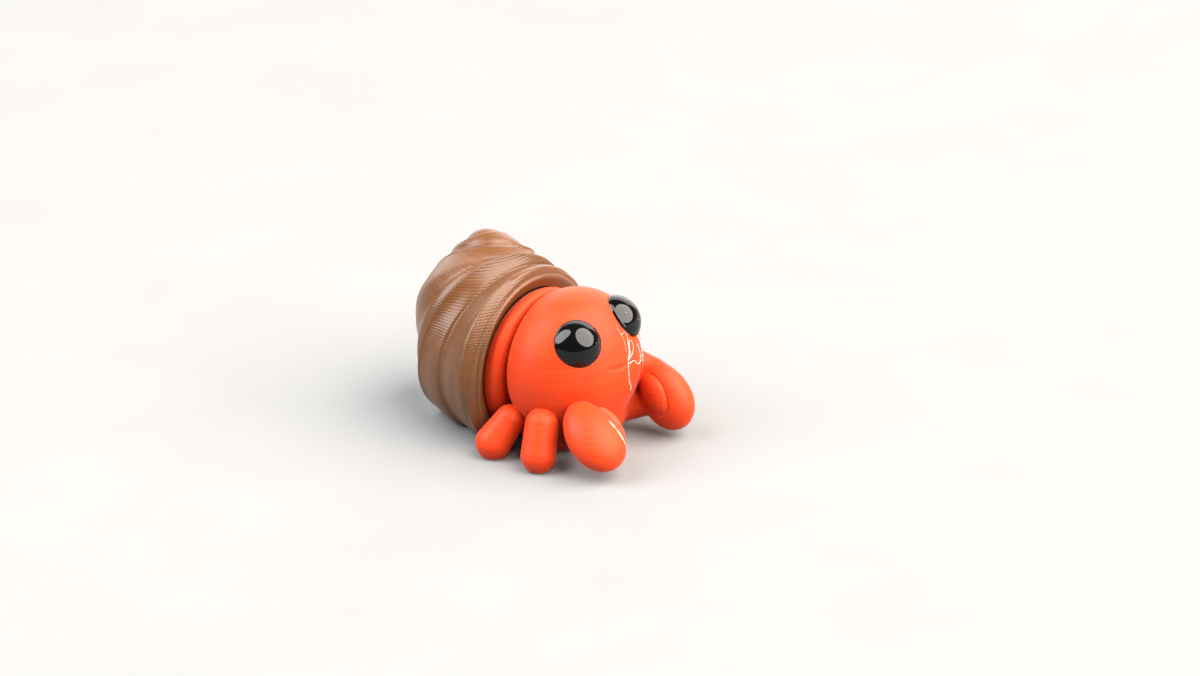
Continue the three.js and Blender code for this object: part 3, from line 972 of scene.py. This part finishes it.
def new_group(name, inputs, outputs):
    """An empty group of shader nodes, with named inputs and their usual values, and named outputs."""
    tree = bpy.data.node_groups.new(name, "ShaderNodeTree")
    for label, usual in inputs.items():
        tree.interface.new_socket(label, in_out="INPUT", socket_type="NodeSocketFloat").default_value = usual
    for label in outputs:
        tree.interface.new_socket(label, in_out="OUTPUT", socket_type="NodeSocketFloat")
    return tree, tree.nodes.new("NodeGroupInput").outputs, tree.nodes.new("NodeGroupOutput").inputs


def use_group(tree, group, **inputs):
    """Puts a group into a material and returns its outputs."""
    node = add(tree, "Group", node_tree=group)
    for label, value in inputs.items():
        node.inputs[label.replace("_", " ")].default_value = value
    return node.outputs


def new_material(name, thing):
    """A material with one Principled shader, put on an object as its only one."""
    material = bpy.data.materials.new(name)
    material.use_nodes = True
    thing.data.materials.clear()
    thing.data.materials.append(material)
    return material.node_tree, material.node_tree.nodes["Principled BSDF"]


def connect(tree, shader, **sockets):
    """Links or sets the shader's sockets; a plain number goes straight onto the socket."""
    for label, value in sockets.items():
        socket = shader.inputs[label.replace("_", " ")]
        if isinstance(value, bpy.types.NodeSocket):
            tree.links.new(value, socket)
        else:
            socket.default_value = value


print("groups and materials can be made in one call each")

# %% [markdown]
# ## Printed layers
# Melted plastic is laid down in flat layers, and each one bulges a little at its edge. The group works
# from height alone, so the lines run level round every part. It gives the bulge as a height for bump, a
# mask for the grooves between layers, where a darker colour is painted as shade, and a random tone for
# each layer. Where a surface is nearly level the bulge is halved. Real grooves in the mesh would need
# millions of faces.

# %% Make the group for printed layers
LAYER = 0.22  # mm
WANDER = 0.05  # mm that the lines waver
WANDER_SCALE = 350.0  # of the noise that they follow
LEVEL_LOSS = 0.5  # share of the bulge that a level surface loses


def make_layers_group():
    tree, given, result = new_group(
        "print_layers", {"Layer mm": LAYER, "Wander mm": WANDER}, ("Height", "Groove shade", "Tone")
    )
    place = add(tree, "TexCoord").outputs["Object"]
    z = add(tree, "SeparateXYZ", {"Vector": place}).outputs["Z"]
    noise = add(tree, "TexNoise", {"Vector": place, "Scale": WANDER_SCALE, "Detail": 1.0}).outputs["Fac"]
    wander = maths(tree, "MULTIPLY", maths(tree, "SUBTRACT", noise, 0.5), given["Wander mm"])
    level = maths(tree, "ADD", maths(tree, "MULTIPLY", z, 1.0 / MM), wander)
    count = maths(tree, "DIVIDE", level, given["Layer mm"])
    part = maths(tree, "FRACT", count)
    off_middle = maths(tree, "SUBTRACT", maths(tree, "MULTIPLY", part, 2.0), 1.0)
    hollow = maths(tree, "POWER", maths(tree, "ABSOLUTE", off_middle), 2.0)
    normal = add(tree, "NewGeometry").outputs["Normal"]
    levelness = maths(tree, "ABSOLUTE", add(tree, "SeparateXYZ", {"Vector": normal}).outputs["Z"])
    gain = maths(tree, "SUBTRACT", 1.0, maths(tree, "MULTIPLY", levelness, LEVEL_LOSS))
    bead = maths(tree, "SUBTRACT", 1.0, hollow)
    tree.links.new(maths(tree, "MULTIPLY", bead, gain), result["Height"])
    # The groove mask says where painted shade goes.
    tree.links.new(maths(tree, "POWER", hollow, 3.0), result["Groove shade"])
    layer = maths(tree, "FLOOR", count)
    tone = add(tree, "TexWhiteNoise", {"W": layer}, noise_dimensions="1D").outputs["Value"]
    tree.links.new(tone, result["Tone"])
    return tree


layers_group = make_layers_group()
print("group made:", layers_group.name)

# %% [markdown]
# ## Soft changes and specks
# No real surface has one even tone. The first group gives slow, cloudy changes, and the second gives a
# few small round specks of dust or nicks, from random cells of which only some are filled. Noise alone
# can't give round specks with clear space between them.

# %% Make the groups for clouds and specks


def make_clouds_group():
    tree, given, result = new_group("soft_clouds", {"Size mm": 2.0, "Seed": 0.0}, ("Cloud",))
    place = add(tree, "TexCoord").outputs["Object"]
    scale = maths(tree, "DIVIDE", 1.0 / MM, given["Size mm"])
    noise = add(tree, "TexNoise", {
        "Vector": place, "W": given["Seed"], "Scale": scale, "Detail": 3.0
    }, noise_dimensions="4D").outputs["Fac"]
    spread = add(tree, "MapRange", {"Value": noise, "From Min": 0.3, "From Max": 0.7}).outputs["Result"]
    tree.links.new(spread, result["Cloud"])
    return tree


def make_specks_group():
    usual = {"Cell mm": 0.5, "Share": 0.2, "Radius": 0.15}
    tree, given, result = new_group("small_specks", usual, ("Mask",))
    place = add(tree, "TexCoord").outputs["Object"]
    scale = maths(tree, "DIVIDE", 1.0 / MM, given["Cell mm"])
    cells = add(tree, "TexVoronoi", {"Vector": place, "Scale": scale})
    red = add(tree, "SeparateColor", {"Color": cells.outputs["Color"]}).outputs["Red"]
    filled = maths(tree, "LESS_THAN", red, given["Share"])
    near = maths(tree, "LESS_THAN", cells.outputs["Distance"], given["Radius"])
    tree.links.new(maths(tree, "MULTIPLY", filled, near), result["Mask"])
    return tree


clouds_group = make_clouds_group()
specks_group = make_specks_group()
print("groups made:", clouds_group.name, "and", specks_group.name)

# %% [markdown]
# ## Painted highlights on the crab
# Beside the right finger the claw's edge catches light from behind, so a jagged pale line is painted
# down its front as a highlight. The finger's layer edges and the first printed layer's bulging edge get
# faint painted highlights too. The amount is stored on the mesh's points, because it depends on the
# shapes, which a material doesn't know.

# %% Mark the painted highlights
HIGHLIGHT_SIDE = 4.44  # mm to the side, level with the head's middle
HIGHLIGHT_LEAN = 0.134  # mm further in for each mm down
HIGHLIGHT_TOP = -1.7  # the line starts here
HIGHLIGHT_FADE = 0.3  # mm from there to its full strength
HIGHLIGHT_WIDEST = -2.6  # where it is widest
HIGHLIGHT_SWELL = 0.5  # mm up and down over which it widens
HIGHLIGHT_WIDTH = (0.04, 0.07)  # mm to each side, and how much more at its widest
ON_CLAW, OFF_FINGER, ON_FINGER = 0.1, 0.02, 0.1  # mm from the eggs
# Painted highlights on the finger's layer edges, stronger on some layers than on others.
FINGER_HIGHLIGHT = 0.05
BED_HIGHLIGHT = 0.3  # painted highlight on the first layer's bulging edge
BED_HIGHLIGHT_HEIGHT, BED_HIGHLIGHT_SPREAD = 0.08, 0.07  # mm
ragged = luck.uniform(0.35, 1.5, 100)  # each printed layer gets its own share of the painted highlight


def painted_highlight_amount(points):
    """How much painted highlight each point gets, from 0 to 1."""
    mirrored = [-points[:, 0], points[:, 1], points[:, 2]]
    egg, finger = egg_shape(mirrored, *CLAW["right"]), egg_shape(mirrored, *FINGER["right"])
    height = points[:, 2]
    above_floor = height - FLOOR
    luck_here = ragged[np.clip((above_floor / LAYER).astype(int), 0, len(ragged) - 1)]
    off_line = mirrored[0] - (HIGHLIGHT_SIDE + HIGHLIGHT_LEAN * height)
    widest = np.exp(-((height - HIGHLIGHT_WIDEST) / HIGHLIGHT_SWELL) ** 2)
    width = (HIGHLIGHT_WIDTH[0] + HIGHLIGHT_WIDTH[1] * widest) * luck_here
    on_claw = (egg < ON_CLAW) & (finger > OFF_FINGER) & (points[:, 1] < CLAW["right"][0][1])
    strength = on_claw * np.clip((HIGHLIGHT_TOP - height) / HIGHLIGHT_FADE, 0.0, 1.0)
    line = np.exp(-((off_line / width) ** 2)) * strength
    on_finger = (finger < egg) & (finger < ON_FINGER)
    first_layer = BED_HIGHLIGHT * np.exp(-((above_floor - BED_HIGHLIGHT_HEIGHT) / BED_HIGHLIGHT_SPREAD) ** 2)
    return np.clip(line + FINGER_HIGHLIGHT * luck_here * on_finger + first_layer, 0.0, 1.0)


painted_pale = painted_highlight_amount(crab_points)
crab.data.attributes.new("painted_highlight", "FLOAT", "POINT").data.foreach_set("value", painted_pale)
# Counts the points with a strong painted highlight.
print("well scuffed points:", int((painted_pale > 0.5).sum()))

# %% [markdown]
# ## Coral-red plastic
# The crab's plastic is opaque, bright and only half glossy. Its tone changes a little from layer to
# layer, and the grooves between layers are painted a deeper red as shade. Both plastics are laid down in
# the same way, so one function wires the groups for them, and each finish adds what is its own.

# %% Finish the crab
# Each plastic's bright tone, its deep tone and the darker colour painted as shade in its layer grooves.
CRAB_COLOURS = ((0.52, 0.044, 0.0068, 1.0), (0.48, 0.030, 0.0050, 1.0), (0.39, 0.016, 0.0034, 1.0))
# Pale colour for the painted highlights and for the real nicks.
CRAB_NICK_AND_HIGHLIGHT = (0.62, 0.42, 0.35, 1.0)
CRAB_BUMP = 0.014 * MM
NICK_SHARE = 0.25  # share of the pale colour in a nick
ROUGH_RANGE = 0.12  # how much rougher the plastic is where its tone is lightest


def printed_plastic(tree, colours, groove_shade_share, cloud_mm, seed, bump_height, strength):
    """Colour, tone from 0 to 1 and normal of plastic that is laid down in layers."""
    bright, deep, groove_shade = colours
    layers = use_group(tree, layers_group, Layer_mm=LAYER, Wander_mm=WANDER)
    clouds = use_group(tree, clouds_group, Size_mm=cloud_mm, Seed=seed)
    tone = maths(tree, "MULTIPLY", maths(tree, "ADD", clouds["Cloud"], layers["Tone"]), 0.5)
    colour = blend(tree, tone, deep, bright)
    # The grooves between layers are darkened as painted shade.
    colour = blend(tree, maths(tree, "MULTIPLY", layers["Groove shade"], groove_shade_share), colour, groove_shade)
    return colour, tone, bump(tree, layers["Height"], bump_height, strength)


def finish_crab():
    tree, shader = new_material("crab_plastic", crab)
    colour, tone, normal = printed_plastic(
        tree, CRAB_COLOURS, groove_shade_share=0.3, cloud_mm=3.0, seed=1.0, bump_height=CRAB_BUMP, strength=0.8
    )
    nicks = use_group(tree, specks_group, Cell_mm=0.9, Share=0.12, Radius=0.09)["Mask"]
    # The painted highlights stored on the points, and the real nicks, both turn the plastic pale.
    highlight_and_nicks = add(tree, "Attribute", attribute_name="painted_highlight").outputs["Fac"]
    highlight_and_nicks = maths(tree, "MAXIMUM", highlight_and_nicks, maths(tree, "MULTIPLY", nicks, NICK_SHARE))
    connect(tree, shader, Base_Color=blend(tree, highlight_and_nicks, colour, CRAB_NICK_AND_HIGHLIGHT),
            Roughness=roughness(tree, tone, least=0.42, gain=ROUGH_RANGE), Specular_IOR_Level=0.15,
            Normal=normal, Sheen_Weight=0.1, Sheen_Roughness=0.3)


finish_crab()
print("crab finished")

# %% [markdown]
# ## Brown plastic
# The shell's plastic is a muted brown with a satin shine. The same layer lines catch the light on its
# ribs, where they make fine bright combs, so it differs from the crab's only in colour and gloss.

# %% Finish the shell
# Bright tone, deep tone, and the darker colour painted as shade in the layer grooves.
SHELL_COLOURS = (
    (0.122, 0.0475, 0.0165, 1.0), (0.099, 0.0375, 0.0128, 1.0), (0.062, 0.022, 0.008, 1.0)
)
SHELL_BUMP = 0.015 * MM


def finish_shell():
    tree, shader = new_material("shell_plastic", shell)
    colour, tone, normal = printed_plastic(
        tree, SHELL_COLOURS, groove_shade_share=0.4, cloud_mm=4.0, seed=2.0, bump_height=SHELL_BUMP, strength=1.0
    )
    connect(tree, shader, Base_Color=colour, Roughness=roughness(tree, tone, least=0.26, gain=ROUGH_RANGE),
            Specular_IOR_Level=0.32, Normal=normal)


finish_shell()
print("shell finished")

# %% [markdown]
# ## Black gloss of the eyes
# The domes are cast and polished, so they mirror the two soft boxes. A little dust and a faint haze keep
# them from looking like perfect glass.

# %% Finish the eyes
EYE_BLACK = (0.001, 0.001, 0.0012, 1.0)
EYE_DUST = (0.25, 0.24, 0.22, 1.0)
DUST_ROUGH = 0.4
EYE_BUMP = 0.004 * MM


def finish_eye(eye):
    tree, shader = new_material("eye_gloss", eye)
    haze = use_group(tree, clouds_group, Size_mm=1.2, Seed=3.0)["Cloud"]
    dust = use_group(tree, specks_group, Cell_mm=0.35, Share=0.1, Radius=0.12)["Mask"]
    colour = blend(tree, dust, EYE_BLACK, EYE_DUST)
    rough = roughness(tree, haze, least=0.03, gain=0.03)
    rough = maths(tree, "MAXIMUM", rough, maths(tree, "MULTIPLY", dust, DUST_ROUGH))
    connect(tree, shader, Base_Color=colour, Roughness=rough, Specular_IOR_Level=0.32,
            Normal=bump(tree, haze, EYE_BUMP, strength=0.5))


for eye in eyes:
    finish_eye(eye)
print("eyes finished")

# %% [markdown]
# ## Clear glue
# The glue is clear, and clear threads alone would show only faint glints. The bubbles are far too small
# to model. So it is part glass and part a pale milky colour, which paints the glints in as a highlight,
# and its tint changes slowly along it.

# %% Finish the glue
# Both tints are pale; on the part of the glue that is not glass they paint the threads' glints in as a
# highlight.
GLUE_CLEAR = (1.0, 0.68, 0.52, 1.0)
GLUE_PALE_HIGHLIGHT = (1.0, 0.84, 0.72, 1.0)
GLUE_BUMP = 0.02 * MM


def finish_glue():
    tree, shader = new_material("clear_glue", glue)
    clouds = use_group(tree, clouds_group, Size_mm=0.5, Seed=4.0)["Cloud"]
    colour = blend(tree, clouds, GLUE_CLEAR, GLUE_PALE_HIGHLIGHT)
    connect(tree, shader, Base_Color=colour, Roughness=roughness(tree, clouds, least=0.05, gain=0.15),
            Normal=bump(tree, clouds, GLUE_BUMP, strength=0.5), Transmission_Weight=0.65, IOR=1.46)


finish_glue()
print("glue finished")

# %% [markdown]
# ## Paper floor
# The floor is matt paper with a faint tooth. Under strong light a middle grey already looks white, and
# it throws less light up under the toy than white paper would.

# %% Finish the floor
PAPER_LIGHT = (0.200, 0.203, 0.205, 1.0)
PAPER_DARK = (0.192, 0.195, 0.197, 1.0)
PAPER_TOOTH = 0.02 * MM


def finish_floor():
    tree, shader = new_material("paper", floor)
    clouds = use_group(tree, clouds_group, Size_mm=12.0, Seed=5.0)["Cloud"]
    tooth = use_group(tree, clouds_group, Size_mm=0.4, Seed=6.0)["Cloud"]
    connect(tree, shader, Base_Color=blend(tree, clouds, PAPER_DARK, PAPER_LIGHT),
            Roughness=roughness(tree, tooth, least=0.8, gain=0.1), Specular_IOR_Level=0.2,
            Normal=bump(tree, tooth, PAPER_TOOTH, strength=0.3))


finish_floor()
print("floor finished")
